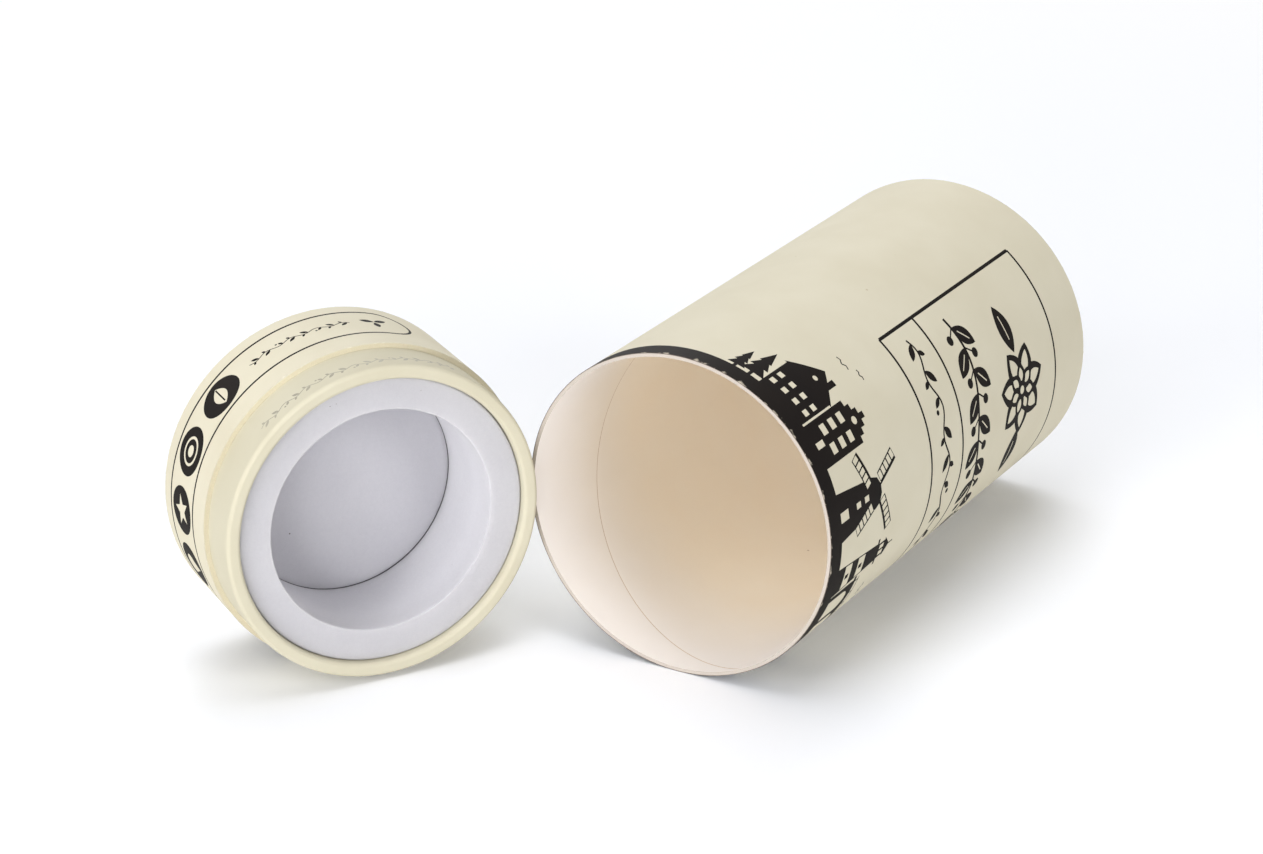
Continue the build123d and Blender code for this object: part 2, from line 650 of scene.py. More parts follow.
# What stands in the town from left to right, each with its place and sizes, and the birds over it
town_row = (
    (fir, 1.0, 7.5),
    (fir, 4.0, 10.5),
    (gabled_house, 6.2, 10.4, 10.2, 5.6),
    (stepped_house, 17.0, 8.2, 12.4, 3),
    (windmill, 34.2, 12.6),
    (lighthouse, 46.6, 15.6),
    (viaduct, 49.6, 5, 5.6, 9.2),
    (gabled_house, 79.6, 8.0, 9.0, 4.6),
    (stepped_house, 88.2, 7.4, 7.6, 3),
    (poplar, 97.6, 12.5),
    (poplar, 100.4, 10.0),
    (gabled_house, 102.4, 8.4, 11.6, 4.4),
    (fir, 113.4, 10.5),
    (fir, 116.8, 8.0),
    (viaduct, 119.2, 4, 5.6, 8.2),
    (windmill, 150.4, 11.6),
    (bird, 12.0, 26.0, 1.5),
    (bird, 15.4, 27.8, 1.1),
    (bird, 55.5, 21.0, 1.6),
    (bird, 59.6, 23.4, 1.2),
    (bird, 71.5, 21.4, 1.1),
    (bird, 109.0, 24.0, 1.4),
    (bird, 129.0, 21.0, 1.5),
    (bird, 134.0, 23.0, 1.1),
)


def town():
    """The whole townscape, enlarged from its foot."""
    shapes = [shape for draw, *sizes in town_row for shape in draw(*sizes)]
    return moved(shapes, lambda x, y: (x * town_scale, town_foot + (y - town_foot) * town_scale))


# The ruled frame on the cover's side, with a vine, a sprig and a blossom in it

frame_start = 51.0
frame_near = 54.3
frame_split = 72.2
frame_far = 129.0
frame_width = 81.0
thick_rule = 0.95
thin_rule = 0.8
vine_depth = 63.3
vine_height = 6.6
sprig_depth = 83.0
blossom_depth = 108.0
blossom_radius = 12.6


def ruled_frame():
    """x runs round the tube from the frame's thick side."""
    lines = [rule([(0, frame_near), (0, frame_far)], thick_rule),
             rule([(frame_width, frame_near), (frame_width, frame_far)], thin_rule)]
    for depth in (frame_near, frame_split, frame_far):
        lines.append(rule([(0, depth), (frame_width, depth)], thin_rule))
    return lines


def vine(x, end, y, height, paint=INK):
    """A thin waving stem with a leaf or a berry in each bend."""
    bend = height * 1.15
    bends = int((end - x) / bend)
    steps = 6
    stem = []
    for step in range(bends * steps + 1):
        wave = math.sin(math.pi * step / steps)
        stem.append((x + bend * step / steps, y + height * 0.2 * wave))
    shapes = [rule(stem, height * 0.1, paint)]
    for number in range(bends):
        side = 1 if number % 2 else -1
        start_x, start_y = stem[number * steps + 1]
        if number % 3 == 2:
            shapes.append(spot(start_x + bend * 0.45, y + side * height * 0.3, height * 0.11, paint, 10))
            shapes.append(leaf(start_x, start_y, height * 0.55, height * 0.28, side * 52, paint, 5))
        else:
            shapes.append(leaf(start_x, start_y, height * 0.82, height * 0.34, side * 40, paint, 6))
            shapes.append(leaf(start_x + bend * 0.35, y - side * height * 0.16, height * 0.46,
                               height * 0.24, side * -58, paint, 5))
    return shapes


def sprig(x, end, y):
    """A long stem with leaves by turns on its two sides and berries between them."""
    leaves = 10
    count = 22
    wave = 1.6
    stem = [(x + (end - x) * s / count, y + wave * math.sin(2 * math.pi * s / count * 1.5))
            for s in range(count + 1)]
    shapes = [rule(stem, 0.95)]
    for number in range(1, leaves + 1):
        place = stem[2 * number - 1]
        side = 1 if number % 2 else -1
        turn = 46 * side
        length = 9.6 - 0.14 * number
        shapes.append(leaf(*place, length, 4.9, turn, INK, 9))
        shapes.append(vein(*place, turn, 2.2, length - 2.4, 0.36))
        berry = (place[0] + 2.6, place[1] - side * 3.6)
        shapes.append(rule([place, berry], 0.5))
        shapes.append(spot(*berry, 1.35, INK, 18))
    shapes.append(leaf(stem[-1][0] - 0.6, stem[-1][1], 7.4, 3.8, 8))
    return shapes


def blossom(x, y, radius):
    """A round flower of thickly outlined petals with a leaf at each side."""
    petals = 7
    petal_width = 0.66
    shapes = []
    for turn in (-6, 186):
        ahead, _ = headings(turn)
        start = (x + ahead.x * radius * 0.85, y + ahead.y * radius * 0.85)
        shapes.append(leaf(*start, radius * 1.1, radius * 0.5, turn, INK, 10))
        shapes.append(vein(*start, turn, radius * 0.3, radius * 0.85, 0.4))
    for ring, inner, first in ((1.0, 0.62, 0), (0.6, 0.5, 0.5)):
        length = radius * ring
        inset = length * (1 - inner) * 0.62
        for step in range(petals):
            turn = 360 / petals * (step + first)
            ahead, _ = headings(turn)
            shapes.append(leaf(x, y, length, length * petal_width, turn, INK, 10))
            shapes.append(leaf(x + ahead.x * inset, y + ahead.y * inset, length * inner,
                               length * petal_width * 0.46, turn, PAPER, 10))
    shapes += [spot(x, y, radius * 0.2), spot(x, y, radius * 0.09, PAPER, 18)]
    return shapes


def frame_print():
    """All that stands in the ruled frame."""
    shapes = ruled_frame()
    shapes += vine(4.0, frame_width - 3.0, vine_depth, vine_height)
    shapes += sprig(5.0, frame_width - 9.0, sprig_depth)
    shapes += blossom(frame_width * 0.42, blossom_depth, blossom_radius)
    return shapes


def on_cover(shapes, start):
    """Lays flat shapes on the cover; x runs down from the start angle."""
    return moved(shapes, lambda x, y: (start - x / tube_pitch, y))


# The base's print: a pill-shaped line with spots in it, and small rows

pill_near = 7.7
pill_far = 22.9
pill_middle = (pill_near + pill_far) / 2
pill_first = 63.4
pill_last = 278.0
pill_rule = 0.72
spot_radius = 6.2
spot_angles = (136.5, 157.6, 178.7, 199.8, 220.9, 242.0)
twig_angle = 76.0
base_vine_angles = (85.0, 124.0)
neck_vine_angles = (58.0, 137.0)
neck_vine_depth = -8.0


def pill(grow, paint):
    """A long shape with round ends; x runs up round the base from angle zero."""
    radius = (pill_far - pill_near) / 2
    left = pill_first * tube_pitch + radius
    right = pill_last * tube_pitch - radius
    return Shape(paint, arc(left, pill_middle, radius + grow, 90, 270, 18)
                 + arc(right, pill_middle, radius + grow, 270, 450, 18))


def spot_figures(x, y):
    """The paper-coloured figures of the six spots: a leaf, rings, a star, a drop, petals and a lozenge."""
    return [
        [leaf(x, y + 4.0, 8.0, 4.2, -90, PAPER, 9), rule([(x, y + 3.6), (x, y - 3.0)], 0.42)],
        [spot(x, y, 3.7, PAPER), spot(x, y, 3.0), spot(x, y, 1.5, PAPER, 20)],
        [star(x, y, 4.2, 5, PAPER)],
        [Shape(PAPER, arc(x, y + 1.2, 2.6, 230, -50, 18) + [(x, y - 4.2)])],
        [leaf(x, y, 4.4, 2.3, 60 * step, PAPER, 6) for step in range(6)],
        [lozenge(x, y, 5.4, 7.2, PAPER), lozenge(x, y, 3.2, 4.4)],
    ]


def base_print():
    shapes = [pill(pill_rule / 2, INK), pill(-pill_rule / 2, PAPER)]
    for number, angle in enumerate(spot_angles):
        x = angle * tube_pitch
        shapes.append(spot(x, pill_middle, spot_radius, INK, 40))
        shapes += spot_figures(x, pill_middle)[number]
    twig = twig_angle * tube_pitch
    shapes += [leaf(twig, pill_middle + 0.4, 3.8, 1.9, turn) for turn in (20, 160)]
    shapes.append(leaf(twig, pill_middle, 3.4, 1.7, -90))
    first, last = base_vine_angles
    shapes += vine(first * tube_pitch, last * tube_pitch, pill_middle + 0.2, 3.0)
    return moved(shapes, lambda x, y: (x / tube_pitch, y))


def neck_print():
    first, last = neck_vine_angles
    row = vine(first * neck_pitch, last * neck_pitch, neck_vine_depth, 2.8, GREY)
    return moved(row, lambda x, y: (x / neck_pitch, y))


# Printed wraps with their glued laps

cover_join = 249.3          # in a gap of the town, under the box
base_join = -65.0
fine_columns = 180
lap_height = 0.11
lap_step = 0.12
lap_width = 15.0

# Bare nicks along the black band's edge: how many, from and to which angle, and the seed of their places
nick_runs = ((6, -30, 8, 4), (7, 8, 126, 7), (9, -200, -30, 11))
nick_start = 0.05
nick_widths = (0.15, 0.5)
nick_depths = (0.09, 0.2)


def lap_relief(join):
    """Where the wrap's end lies over its start: a small step that runs out round the tube."""

    def relief(angle, depth, radius):
        past = (angle - join) % 360
        if radius < tube_radius - 2 * paper:
            return Vector((0.0, 0.0))
        share = eased(0.0, lap_step, past) * (1 - eased(lap_step, lap_width, past))
        return Vector((0.0, lap_height * share * eased(tube_radius - paper, tube_radius, radius)))

    return relief


def wrap_outline(length):
    flap = length - label_paper
    board = flap - paper
    inner = tube_radius - paper
    return rounded_outline([
        (0.0, inner, 0), (board, inner, fold_round - paper), (board, tube_radius - fold_width, 0),
        (flap, tube_radius - fold_width, 0), (flap, tube_radius, fold_round), (0.0, tube_radius, 0)])


def long_stretch(outline, radius):
    """The number of the longest straight stretch that lies at a radius, and its lower and higher depth."""
    found = [(abs(s.end.x - s.start.x), number) for number, s in enumerate(outline)
             if s.centre is None and max(abs(s.start.y - radius), abs(s.end.y - radius)) < same_place]
    _, number = max(found)
    return number, *sorted((outline[number].start.x, outline[number].end.x))


def in_turn(shapes, first):
    """The same shapes with their angles in the turn that starts at first."""
    result = []
    for shape in shapes:
        middle = sum(angle for angle, _ in shape.outline) / len(shape.outline)
        shift = first - middle + (middle - first) % 360
        result.append(Shape(shape.paint, [(angle + shift, depth) for angle, depth in shape.outline]))
    return result


def edge_nicks(amount, low, high, seed):
    """Small bare places along the black band's edge at the mouth."""
    chance = random.Random(seed)
    shapes = []
    for _ in range(amount):
        angle = chance.uniform(low, high)
        wide = chance.uniform(*nick_widths) / tube_pitch
        deep = chance.uniform(*nick_depths)
        shapes.append(Shape(PAPER, [(angle, nick_start), (angle + wide, nick_start),
                                    (angle + wide * 0.7, deep), (angle + wide * 0.2, deep * 0.8)]))
    return shapes


def printed_wrap(name, half, length, join, drawing, band=0.0):
    """A wrap that is folded over the closed end, with a black band of that width at its mouth."""
    outline = wrap_outline(length)
    printed, _, straight_end = long_stretch(outline, tube_radius)
    columns = even_columns(join, fine_columns, (join + lap_step,))
    rows = [0.0, straight_end]
    shapes = in_turn(drawing, join)
    if band > 0:
        rows.insert(1, band)
        shapes.insert(0, block(columns[0], 0.0, columns[-1], band))
    return turned(name, half, outline, columns, printed, rows, shapes, (), lap_relief(join))


def cover_wrap_piece():
    drawing = on_cover(town(), town_start) + on_cover(frame_print(), frame_start)
    for run in nick_runs:
        drawing += edge_nicks(*run)
    piece = printed_wrap("cover_wrap_print", cover, cover_length, cover_join, drawing, band_width)
    paint_cut_edge(piece)
    return piece


def paint_cut_edge(piece):
    """Gives the cut edge of a sheet at the cover's mouth its own paint."""
    for face in piece.data.polygons:
        if abs(cover.reading(face.center)[1]) < same_place:
            face.material_index = CUT_EDGE


def base_wrap_piece():
    return printed_wrap("base_wrap_print", base, shell_length, base_join, base_print())


def neck_wrap_piece():
    """The neck's paper: down the outside, round the rim and a little way down the inside."""
    turned_end = neck_rim + neck_turn_in
    outline = rounded_outline([
        (neck_rim, neck_inner_radius, neck_rim_round), (turned_end, neck_inner_radius, 0),
        (turned_end, neck_inner_radius + paper, 0),
        (neck_rim + paper, neck_inner_radius + paper, neck_rim_round - paper),
        (neck_rim + paper, neck_radius - paper, neck_rim_round - paper),
        (neck_foot, neck_radius - paper, 0), (neck_foot, neck_radius, 0),
        (neck_rim, neck_radius, neck_rim_round)], 7)
    printed, straight_start, straight_end = long_stretch(outline, neck_radius)
    return turned("neck_wrap_print", base, outline, even_columns(base_join, fine_columns), printed,
                  [straight_start, 0.0, straight_end], in_turn(neck_print(), base_join))


# The cover's lining, a strip wound slantwise

lining_join = 20.0
lining_columns = 120
lining_row_pitch = 6
lining_rows_end = 66
seam_lead = -98.0
seam_at_half_turn = 31.7
seam_turns = range(-3, 4)
seam_width = 0.26
seam_height = 0.07
seam_fade = 1.5
seam_margin = 0.35
# How deep the lining's painted light takes to grow in full
lining_painted_light_reach = 54.0


def seam_depth(angle, turn_number, offset):
    return seam_at_half_turn + seam_lead * ((angle - 180) / 360 + turn_number) + offset


def seam_distance(angle, depth):
    """How far a place on the lining is from the nearest turn of its seam."""
    turns = (depth - seam_at_half_turn) / seam_lead - (angle - 180) / 360
    return (turns - round(turns)) * abs(seam_lead)


def lining_relief(angle, depth, radius):
    """The seam between two turns of the lining's strip: one edge stands a hair proud of the other."""
    if radius > cover_inner_radius + paper / 2:
        return Vector((0.0, 0.0))
    away = seam_distance(angle, depth)
    step = eased(-seam_width / 2, 0.0, away) * (1 - eased(0.0, seam_width / 2, away))
    fade = eased(0.0, seam_fade, depth) * (1 - eased(cover_lining_end - seam_fade, cover_lining_end, depth))
    return Vector((0.0, seam_height * step * fade))


def kept_runs(path, low, high):
    """The runs of a path whose depths lie between low and high."""
    runs = [[]]
    for angle, depth in path:
        if low <= depth <= high:
            runs[-1].append((angle, depth))
        else:
            runs.append([])
    return [run for run in runs if len(run) > 1]


def cover_lining_piece():
    outline = rounded_outline([
        (0.0, cover_inner_radius, 0), (cover_lining_end, cover_inner_radius, 0),
        (cover_lining_end, cover_inner_radius + paper, 0), (0.0, cover_inner_radius + paper, 0)])
    printed, _, _ = long_stretch(outline, cover_inner_radius)
    columns = even_columns(lining_join, lining_columns)
    rows = [0.0, seam_fade, *range(lining_row_pitch, lining_rows_end, lining_row_pitch),
            cover_lining_end - seam_fade, cover_lining_end]
    lines = []
    for turn_number in seam_turns:
        for offset in (-seam_width / 2, 0.0, seam_width / 2):
            path = [(angle, seam_depth(angle, turn_number, offset)) for angle in columns]
            lines.extend(kept_runs(path, seam_margin, cover_lining_end - seam_margin))
    piece = turned("cover_lining_paper", cover, outline, columns, printed, rows, (), lines, lining_relief)
    for face in piece.data.polygons:
        angle, depth, radius = cover.reading(face.center)
        on_inside = radius < cover_inner_radius + paper / 2
        if on_inside and seam_margin < depth < cover_lining_end - seam_margin:
            if abs(seam_distance(angle, depth)) < seam_width / 2:
                face.material_index = SEAM
    paint_cut_edge(piece)
    return piece


def lining_painted_light(angle, depth, radius):
    """Share of the painted light in the lining: a brighter, warmer tone deep in the tube that stands in for
    light bounced round inside it, growing from the mouth inwards.
    """
    return eased(0.0, lining_painted_light_reach, depth)


# The cut foam

foam_wave_seed = 3
foam_wave_height = 0.07
foam_wave_reach = 2.0       # how far from the face and the neck the foam's waves run out
# Painted light and shade on the foam ring: its well's wall is painted lighter than its face, more so deeper
# in the well, and the well's rounded edge is painted darker over its highlight.
face_painted_light_share = 0.39
well_painted_light_shares = (0.62, 1.0)      # at the well's edge and deep in it
well_painted_light_reach = 10.0
edge_painted_shade_reaches = (0.04, 0.24)    # how far from the well's edge its darker line starts and stops fading


def foam_relief(seed, amount):
    """Soft waves in the cut faces of the foam."""
    chance = random.Random(seed)
    waves = [(chance.randint(2, 9), chance.uniform(0, 360), chance.uniform(0.3, 1.0)) for _ in range(7)]

    def relief(angle, depth, radius):
        out = sum(size * math.sin(math.radians(count * angle + start)) for count, start, size in waves)
        dip = sum(size * math.cos(math.radians((count + 1) * angle - start + 9 * radius))
                  for count, start, size in waves[:4])
        sides = eased(foam_face, foam_face + foam_wave_reach, depth)
        at_wall = eased(foam_radius - foam_wave_reach, foam_radius, radius)
        return Vector((amount * 0.5 * dip * (1 - sides), -amount * (0.6 + 0.4 * out) * at_wall))

    return relief


def foam_ring_piece():
    outer = foam_radius + foam_swell
    outline = rounded_outline([
        (foam_face, well_radius, well_edge_round), (foam_foot - foam_foot_rise, well_radius, 0),
        (foam_foot, outer, 0), (foam_face, outer, foam_edge_round)], 6)
    return turned("foam_ring_cut", base, divided(outline, 2.0), even_columns(base_join, fine_columns),
                  relief=foam_relief(foam_wave_seed, foam_wave_height))


def foam_pad_piece():
    outline = rounded_outline([
        (pad_face, 0.0, 0), (neck_foot, 0.0, 0), (neck_foot, foam_radius, 0),
        (pad_face, foam_radius, pad_edge_round),
        *[(pad_face, radius, 0) for radius in reversed(slit_radii)]], 4)
    off_axis = [s for s in divided(outline, 3.0) if max(s.start.y, s.end.y) > same_place]
    return turned("foam_pad_cut", base, off_axis, even_columns(base_join, fine_columns // 2))


def ring_foam_painted_light_and_shade(angle, depth, radius):
    """Share of the lighter foam tone, which is painted light: more on the well's wall than on the face and
    most deep in the well; none on the well's rounded edge, a painted shade over its highlight.
    """
    from_edge = math.hypot(depth - foam_face, radius - well_radius)
    edge_share, deep_share = well_painted_light_shares
    in_well = edge_share + (deep_share - edge_share) * eased(foam_face, foam_face + well_painted_light_reach, depth)
    inside_well = 1.0 - eased(well_radius, well_radius + well_edge_round, radius)
    share = face_painted_light_share + (in_well - face_painted_light_share) * inside_well
    return share * eased(*edge_painted_shade_reaches, from_edge)


def pad_slit_painted_shade(angle, depth, radius):
    """1 in the slit round the well's floor and 0 beside it, where a painted shade darkens the pad."""
    return eased(slit_radii[0], slit_radii[1], radius) - eased(slit_radii[2], slit_radii[3], radius)


# Geometry trees for what repeats

def new_tree(name, inputs):
    """A geometry tree with named inputs, and the identifiers of their sockets."""
    tree = bpy.data.node_groups.new(name, "GeometryNodeTree")
    tree.interface.new_socket("Geometry", in_out="INPUT", socket_type="NodeSocketGeometry")
    known = {}
    for label, kind, value in inputs:
        socket = tree.interface.new_socket(label, in_out="INPUT", socket_type=kind)
        if value is not None:
            socket.default_value = value
        known[label] = socket.identifier
    tree.interface.new_socket("Geometry", in_out="OUTPUT", socket_type="NodeSocketGeometry")
    return tree, known


def put(tree, kind, values=None, **settings):
    """The outputs of a new node; values gives its inputs a value, or a socket to take one from."""
    node = tree.nodes.new(kind)
    for name, value in settings.items():
        setattr(node, name, value)
    for key, value in (values or {}).items():
        socket = node.inputs[key]
        if isinstance(value, bpy.types.NodeSocket):
            tree.links.new(value, socket)
        else:
            socket.default_value = value
    return node.outputs


def maths(tree, operation, *values, **settings):
    """The result of one sum."""
    return put(tree, "ShaderNodeMath", dict(enumerate(values)), operation=operation, **settings)[0]


def random_value(tree, low, high, seed):
    return put(tree, "FunctionNodeRandomValue", {2: low, 3: high, "Seed": seed}, data_type="FLOAT")[1]


def end_with_copies(tree, given, values):
    """Ends a tree with copies on its points, made real and given their material."""
    copies = put(tree, "GeometryNodeInstanceOnPoints", values)
    real = put(tree, "GeometryNodeRealizeInstances", {0: copies[0]})
    dressed = put(tree, "GeometryNodeSetMaterial", {"Geometry": real[0], "Material": given["Material"]})
    put(tree, "NodeGroupOutput", {0: dressed[0]})


def ring_tree():
    """Copies of one small shape, evenly round the Z axis with a little play."""
    tree, known = new_tree("Ring of copies", [
        ("Count", "NodeSocketInt", 36), ("Play", "NodeSocketFloat", 0.0), ("Seed", "NodeSocketInt", 1),
        ("Material", "NodeSocketMaterial", None)])
    given = put(tree, "NodeGroupInput")
    points = put(tree, "GeometryNodePoints", {"Count": given["Count"]})
    number = put(tree, "GeometryNodeInputIndex")[0]
    turn = maths(tree, "MULTIPLY", number, maths(tree, "DIVIDE", math.tau, given["Count"]))
    back = maths(tree, "MULTIPLY", given["Play"], -1.0)
    play = random_value(tree, back, given["Play"], given["Seed"])
    way = put(tree, "ShaderNodeCombineXYZ", {"Z": maths(tree, "ADD", turn, play)})
    end_with_copies(tree, given, {"Points": points[0], "Instance": given["Geometry"], "Rotation": way[0]})
    return tree, known


def scatter_tree():
    """Tiny flat crumbs scattered over a surface."""
    tree, known = new_tree("Scattered crumbs", [
        ("Density", "NodeSocketFloat", 1000.0), ("Size", "NodeSocketFloat", 0.0002),
        ("Seed", "NodeSocketInt", 1), ("Material", "NodeSocketMaterial", None)])
    given = put(tree, "NodeGroupInput")
    places = put(tree, "GeometryNodeDistributePointsOnFaces", {
        "Mesh": given["Geometry"], "Density": given["Density"], "Seed": given["Seed"]},
        distribute_method="RANDOM")
    crumb = put(tree, "GeometryNodeMeshIcoSphere", {"Radius": given["Size"], "Subdivisions": 1})
    flat = put(tree, "GeometryNodeTransform", {"Geometry": crumb[0], "Scale": (1.0, 0.7, 0.35)})
    size = random_value(tree, 0.35, 1.0, given["Seed"])
    end_with_copies(tree, given, {"Points": places["Points"], "Instance": flat[0],
                                  "Rotation": places["Rotation"], "Scale": size})
    return tree, known


def grown(name, seed_mesh, tree, known, values):
    """The plain mesh that a geometry tree makes from a starting mesh."""
    holder = placed_object(name + "_start", seed_mesh)
    modifier = holder.modifiers.new("Grow", "NODES")
    modifier.node_group = tree
    for label, value in values.items():
        modifier[known[label]] = value
    graph = bpy.context.evaluated_depsgraph_get()
    mesh = bpy.data.meshes.new_from_object(holder.evaluated_get(graph))
    holder.modifiers.remove(modifier)
    bpy.data.objects.remove(holder)
    mesh.name = name
    return mesh


# Tucks of the folded wraps at the closed ends, and dust on the foam

tuck_count = 44
tuck_play = 0.035
tuck_height = 0.1
tuck_width = 2.3
tuck_inner = 1.75           # how far a tuck reaches in from the tube's side
tuck_skirt = 1.6            # how far it runs down the tube's side
tuck_bend_steps = 4
tuck_height_shares = (1.0, 1.0, 0.9, 0.7, 0.45, 0.2, 0.0)
tuck_width_shares = (1.0, 0.9, 0.8, 0.7, 0.55, 0.4, 0.05)
tuck_section_shares = ((-0.5, -0.4), (-0.42, 1.0), (0.0, 0.55), (0.5, -0.4))    # across it and up
dust_density = 2600.0       # crumbs on a square metre
dust_size = 0.16


def tuck_mesh(length):
    """One tuck of the folded wrap, on the closed end's edge, standing on the Z axis."""
    flap = length - label_paper
    centre_depth = flap - fold_round
    centre_radius = tube_radius - fold_round
    path = [(flap, tube_radius - tuck_inner, 1.0, 0.0), (flap, centre_radius, 1.0, 0.0)]
    for step in range(1, tuck_bend_steps + 1):
        turn = math.radians(90 * step / tuck_bend_steps)
        path.append((centre_depth + fold_round * math.cos(turn), centre_radius + fold_round * math.sin(turn),
                     math.cos(turn), math.sin(turn)))
    path.append((centre_depth - tuck_skirt, tube_radius, 0.0, 1.0))
    points = []
    for (depth, radius, face_along, face_out), height, width in zip(
            path, tuck_height_shares, tuck_width_shares):
        for across, lift in tuck_section_shares:
            rise = tuck_height * (lift * height if lift > 0 else lift * 0.3)
            turn = across * width * tuck_width / radius
            reach = radius + rise * face_out
            points.append(Vector((reach * math.cos(turn), reach * math.sin(turn),
                                  depth + rise * face_along)) * MM)
    sides = len(tuck_section_shares)
    last = sides * (len(path) - 1)
    faces = []
    for row in range(0, last, sides):
        for column in range(sides):
            following = (column + 1) % sides
            faces.append((row + column, row + following, row + following + sides, row + column + sides))
    faces.append(tuple(reversed(range(sides))))
    faces.append(tuple(range(last, last + sides)))
    mesh = bpy.data.meshes.new("tuck")
    mesh.from_pydata(points, [], faces)
    work = bmesh.new()
    work.from_mesh(mesh)
    bmesh.ops.recalc_face_normals(work, faces=work.faces)
    work.to_mesh(mesh)
    work.free()
    return mesh


def tuck_ring(name, half, length, seed, material):
    """The tucks all round one closed end."""
    tree, known = ring_tree()
    mesh = grown(name, tuck_mesh(length), tree, known,
                 {"Count": tuck_count, "Play": tuck_play, "Seed": seed, "Material": material})
    turn = Matrix((half.side, half.along.cross(half.side), half.along)).transposed().to_4x4()
    mesh.transform(Matrix.Translation(half.edge * MM) @ turn)
    return placed_object(name, mesh)


def dust_on(piece, name, seed, material):
    tree, known = scatter_tree()
    mesh = grown(name, piece.data.copy(), tree, known,
                 {"Density": dust_density, "Size": dust_size * MM, "Seed": seed, "Material": material})
    return placed_object(name, mesh)


# Effects that several materials share

def effect_group(name, inputs, outputs):
    """A shader group with number inputs and outputs, its inner outputs and the object's own coordinates."""
    tree = bpy.data.node_groups.new(name, "ShaderNodeTree")
    for label, value in inputs:
        tree.interface.new_socket(label, in_out="INPUT", socket_type="NodeSocketFloat").default_value = value
    for label in outputs:
        tree.interface.new_socket(label, in_out="OUTPUT", socket_type="NodeSocketFloat")
    return tree, put(tree, "NodeGroupInput"), object_place(tree)


def object_place(tree):
    return put(tree, "ShaderNodeTexCoord")["Object"]


def noise(tree, place, scale, detail, roughness=0.5):
    return put(tree, "ShaderNodeTexNoise", {"Vector": place, "Scale": scale, "Detail": detail,
                                            "Roughness": roughness})["Fac"]


def nearest_cell(tree, place, scale):
    return put(tree, "ShaderNodeTexVoronoi", {"Vector": place, "Scale": scale}, feature="F1")


def paper_grain_group():
    """Fibres and soft clouds of a sheet of paper."""
    tree, given, place = effect_group(
        "Paper grain", [("Fibre scale", 2600.0), ("Cloud scale", 60.0)], ["Height", "Clouds", "Fibres"])
    fibres = noise(tree, place, given["Fibre scale"], 4.0, 0.62)
    clouds = noise(tree, place, given["Cloud scale"], 3.0)
    felt = noise(tree, place, maths(tree, "MULTIPLY", given["Fibre scale"], 0.22), 2.0)
    height = maths(tree, "MULTIPLY_ADD", felt, 0.6, fibres)
    put(tree, "NodeGroupOutput", {"Height": height, "Clouds": clouds, "Fibres": fibres})
    return tree


def flecks_group():
    """Sparse small flecks: 1 on a fleck and 0 beside it."""
    tree, given, place = effect_group(
        "Flecks", [("Spacing scale", 150.0), ("Size", 0.06), ("Share", 0.2)], ["Mask"])
    cells = nearest_cell(tree, place, given["Spacing scale"])
    near = maths(tree, "LESS_THAN", cells["Distance"], given["Size"])
    pick = put(tree, "ShaderNodeSeparateXYZ", {0: cells["Color"]})
    chosen = maths(tree, "LESS_THAN", pick[0], given["Share"])
    put(tree, "NodeGroupOutput", {"Mask": maths(tree, "MULTIPLY", near, chosen)})
    return tree


def worn_edge_group():
    """Rubbed places along edges, from the piece's own wear value, broken up by noise."""
    tree, given, place = effect_group("Worn edge", [("Breakup scale", 500.0), ("Bite", 0.5)], ["Mask"])
    wear = put(tree, "ShaderNodeAttribute", attribute_name="wear")["Fac"]
    total = maths(tree, "MULTIPLY", wear, noise(tree, place, given["Breakup scale"], 3.0))
    over = maths(tree, "SUBTRACT", total, given["Bite"])
    put(tree, "NodeGroupOutput", {"Mask": maths(tree, "MULTIPLY", over, 8.0, use_clamp=True)})
    return tree


grain_effect = paper_grain_group()
fleck_effect = flecks_group()
edge_effect = worn_edge_group()


# Materials

def srgb(red, green, blue):
    """A colour as it looks on a screen, 0 to 255, for a shader."""
    parts = [value / 255 for value in (red, green, blue)]
    linear = [part / 12.92 if part <= 0.04045 else ((part + 0.055) / 1.055) ** 2.4 for part in parts]
    return (*linear, 1.0)


def new_material(name, roughness, specular):
    material = bpy.data.materials.new(name)
    material.use_nodes = True
    tree = material.node_tree
    shader = tree.nodes["Principled BSDF"]
    shader.inputs["Roughness"].default_value = roughness
    shader.inputs["Specular IOR Level"].default_value = specular
    return material, tree, shader


def mixed(tree, share, first, second):
    """A colour between two, by a share."""
    return put(tree, "ShaderNodeMix", {0: share, 6: first, 7: second}, data_type="RGBA")[2]


def spread(tree, value, low, high):
    """Takes a 0 to 1 value to the range from low to high."""
    return put(tree, "ShaderNodeMapRange", {"Value": value, "To Min": low, "To Max": high})["Result"]


def effect(tree, group, values):
    return put(tree, "ShaderNodeGroup", values, node_tree=group)


def grain(tree, fibre_scale, cloud_scale):
    return effect(tree, grain_effect, {"Fibre scale": fibre_scale, "Cloud scale": cloud_scale})


def flecked(tree, colour, fleck, spacing_scale, size, share):
    """A colour with sparse flecks of another."""
    mask = effect(tree, fleck_effect, {"Spacing scale": spacing_scale, "Size": size, "Share": share})
    return mixed(tree, mask["Mask"], colour, srgb(*fleck))


def bumped(tree, shader, height, strength, distance):
    bump = put(tree, "ShaderNodeBump", {"Height": height, "Strength": strength, "Distance": distance * MM})
    tree.links.new(bump["Normal"], shader.inputs["Normal"])


def two_tones(tree, share, light, dark, inward):
    """Two close tones by a share, and two others, painted light and shade, where the piece's own inward
    value is 1.
    """
    colour = mixed(tree, share, srgb(*light), srgb(*dark))
    if inward is None:
        return colour
    painted_colour = mixed(tree, share, srgb(*inward[0]), srgb(*inward[1]))
    value = put(tree, "ShaderNodeAttribute", attribute_name="inward")
    return mixed(tree, value["Fac"], colour, painted_colour)


